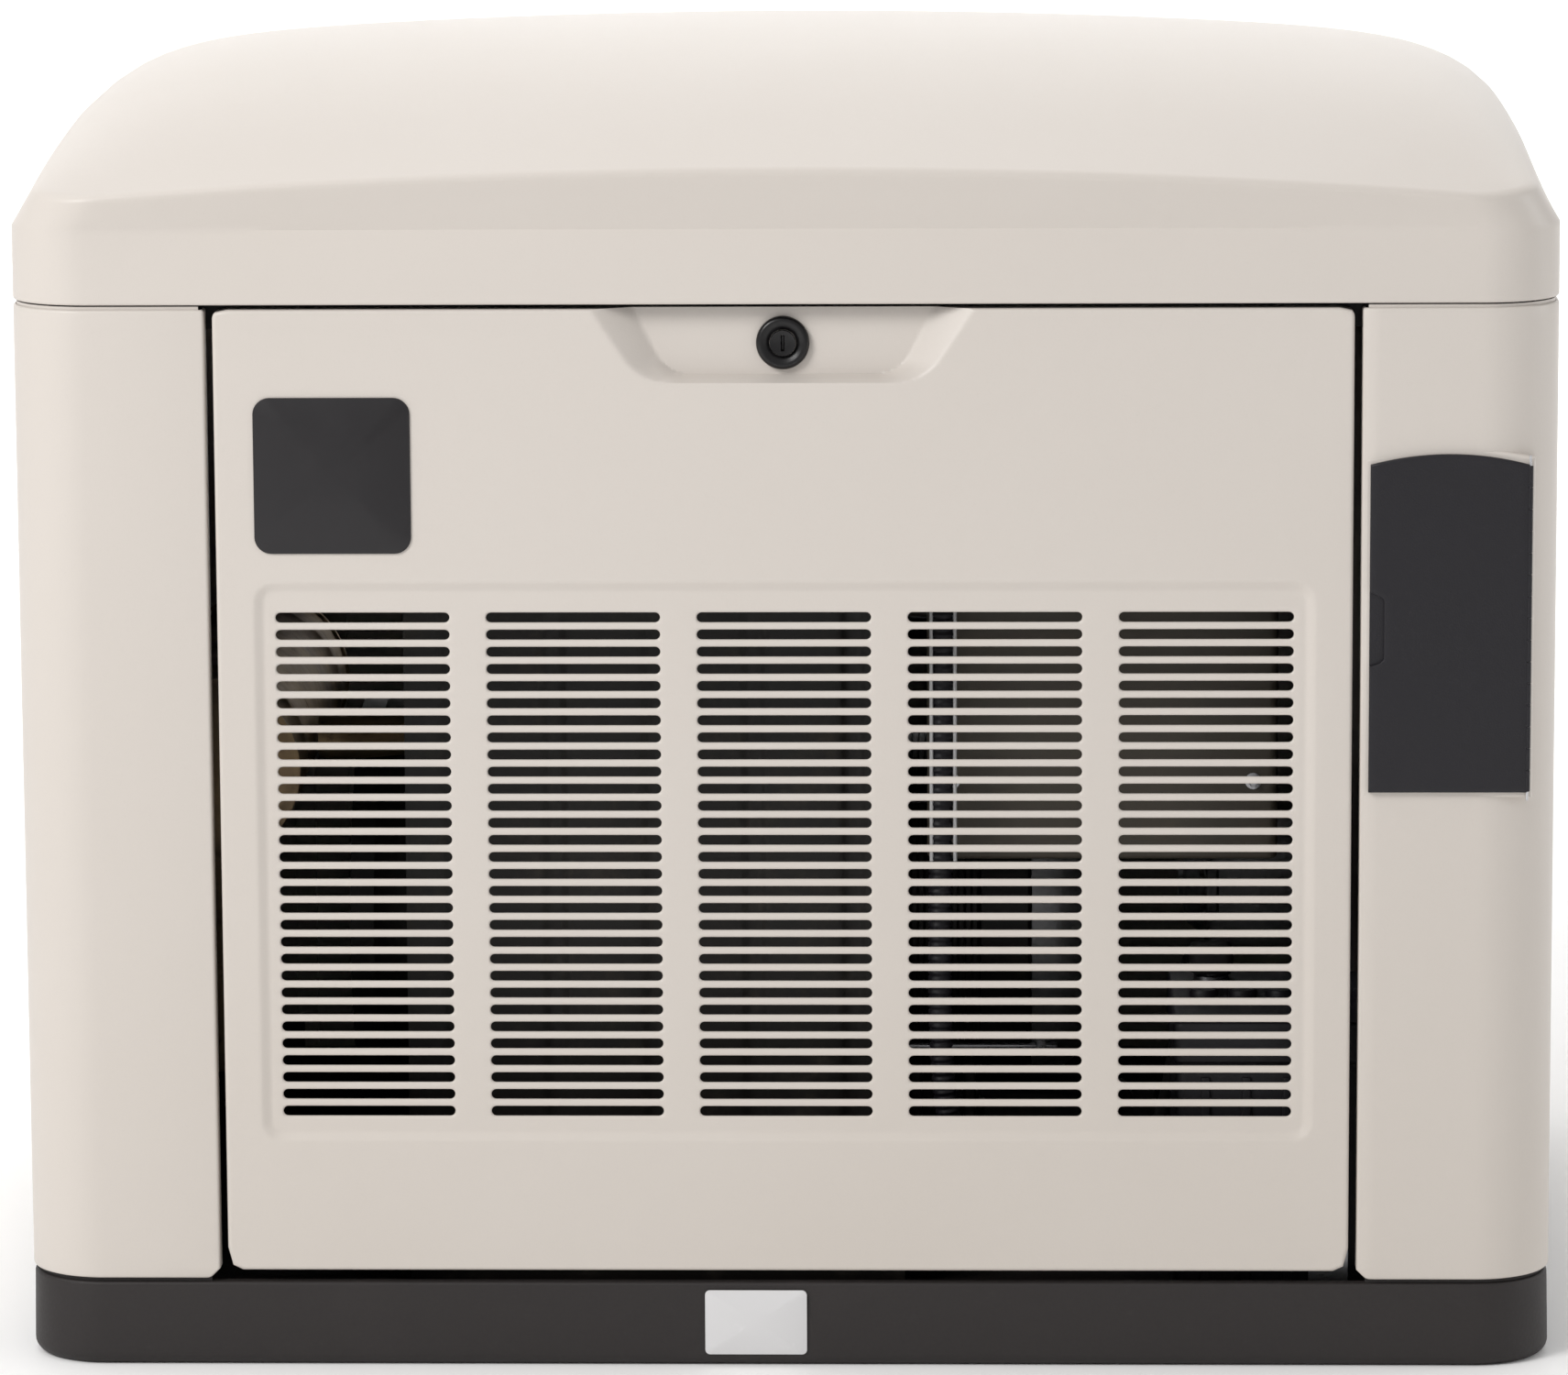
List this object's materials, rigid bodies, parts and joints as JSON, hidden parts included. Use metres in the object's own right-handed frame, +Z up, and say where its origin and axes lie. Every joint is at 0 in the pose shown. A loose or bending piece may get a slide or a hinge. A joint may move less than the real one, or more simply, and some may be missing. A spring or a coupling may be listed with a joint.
{
  "type": "home standby generator",
  "caption": "Enclosed home standby generator with a hinged domed lid, a louvred lift-off front panel, a breaker door, and an engine and alternator inside.",
  "frame": {"origin": "bottom centre of the whole object, on the surface it stands on", "axes": "+X to the right seen from the front along the longest side, the front faces -Y, +Z up"},
  "size_m": [0.93, 0.698, 0.7958],
  "materials": {
    "enclosure": "satin sand powder coat with a fine orange-peel texture",
    "base": "matt dark brown-black moulded composite",
    "black_plastic": "fine-grained matt black moulding",
    "badge": "blank satin black plate",
    "plate": "blank satin off-white plastic",
    "rubber": "matt black rubber",
    "zinc": "zinc-plated steel",
    "black_steel": "black painted steel",
    "cast": "as-cast aluminium",
    "steel": "ground steel",
    "exhaust": "aluminised steel browned by heat",
    "filter": "gloss orange paint",
    "grey_box": "matt grey-brown paint",
    "green": "satin green moulding",
    "red": "satin red moulding",
    "copper": "varnished copper windings on a steel core"
  },
  "bodies": {
    "enclosure": {"base_pan": "base", "rating_plate": "plate", "left_side_panel": "enclosure", "right_side_panel": "enclosure", "rear_panel": "enclosure", "top_rail": "black_steel", "breaker_door_pin": "zinc", "breaker_box": "black_steel", "main_breaker": "black_plastic", "body_hinge_left": "zinc", "body_hinge_right": "zinc", "hinge_pin_left": "zinc", "hinge_pin_right": "zinc", "engine_bed": "black_steel", "crankcase": "cast", "cylinder_front": "cast", "cylinder_rear": "cast", "cylinder_head_front": "cast", "cylinder_head_rear": "cast", "blower_housing": "black_steel", "oil_filter": "filter", "starter_motor": "black_steel", "alternator_stator": "black_steel", "alternator_end_cover": "cast", "air_cleaner_body": "black_plastic", "air_cleaner_cover": "black_plastic", "fuel_mixer": "cast", "fuel_regulator": "cast", "fuel_inlet": "zinc", "fuel_hose": "rubber", "muffler": "exhaust", "exhaust_pipe": "exhaust", "inner_shroud": "black_steel", "control_box": "grey_box", "control_panel": "black_plastic", "battery": "black_plastic", "battery_strap": "zinc", "wiring_conduit": "black_plastic", "isolator_1": "rubber", "isolator_2": "rubber", "isolator_3": "rubber", "isolator_4": "rubber"},
    "lid": {"lid_shell": "enclosure", "lid_seal": "rubber", "lid_hinge_left": "zinc", "lid_hinge_right": "zinc"},
    "prop_rod": {"prop_rod": "zinc"},
    "front_panel": {"front_panel": "enclosure", "badge_plate": "badge", "lock_housing": "black_plastic"},
    "lock_cylinder": {"lock_cylinder": "zinc"},
    "breaker_door": {"breaker_door": "black_plastic"},
    "breaker_toggle": {"breaker_toggle": "black_plastic"},
    "shaft": {"crankshaft": "steel", "flywheel_fan": "cast", "alternator_rotor": "copper"},
    "dipstick": {"dipstick": "filter"},
    "auto_button": {"auto_button": "green"},
    "off_button": {"off_button": "red"},
    "manual_button": {"manual_button": "grey_box"}
  },
  "joints": [
    {"name": "lid_hinge", "type": "hinge", "parent": "enclosure", "child": "lid", "pos_m": [0, 0.345, 0.649], "axis": [-1, 0, 0], "range_deg": [0, 75]},
    {"name": "prop_rod_pivot", "type": "hinge", "parent": "lid", "child": "prop_rod", "pos_m": [-0.438, -0.23, 0.672], "axis": [-1, 0, 0], "range_deg": [0, 80]},
    {"name": "front_panel_lift_off", "type": "slide", "parent": "enclosure", "child": "front_panel", "axis": [0, -1, 0], "range_m": [0, 0.15]},
    {"name": "lock_turn", "type": "hinge", "parent": "front_panel", "child": "lock_cylinder", "pos_m": [0, -0.332, 0.6258], "axis": [0, -1, 0], "range_deg": [0, 90]},
    {"name": "breaker_door_hinge", "type": "hinge", "parent": "enclosure", "child": "breaker_door", "pos_m": [0.4454, -0.347, 0.45], "axis": [0, 0, 1], "range_deg": [0, 105]},
    {"name": "breaker_toggle_pivot", "type": "hinge", "parent": "enclosure", "child": "breaker_toggle", "pos_m": [0.4, -0.308, 0.465], "axis": [1, 0, 0], "range_deg": [0, 50]},
    {"name": "shaft_spin", "type": "hinge", "parent": "enclosure", "child": "shaft", "pos_m": [0, 0.04, 0.215], "axis": [1, 0, 0], "continuous": true},
    {"name": "dipstick_pull", "type": "slide", "parent": "enclosure", "child": "dipstick", "axis": [0, 0, 1], "range_m": [0, 0.15]},
    {"name": "auto_button_press", "type": "slide", "parent": "enclosure", "child": "auto_button", "axis": [0, 0, -1], "range_m": [0, 0.002], "stiffness_N_per_m": 300},
    {"name": "off_button_press", "type": "slide", "parent": "enclosure", "child": "off_button", "axis": [0, 0, -1], "range_m": [0, 0.002], "stiffness_N_per_m": 300},
    {"name": "manual_button_press", "type": "slide", "parent": "enclosure", "child": "manual_button", "axis": [0, 0, -1], "range_m": [0, 0.002], "stiffness_N_per_m": 300}
  ]
}
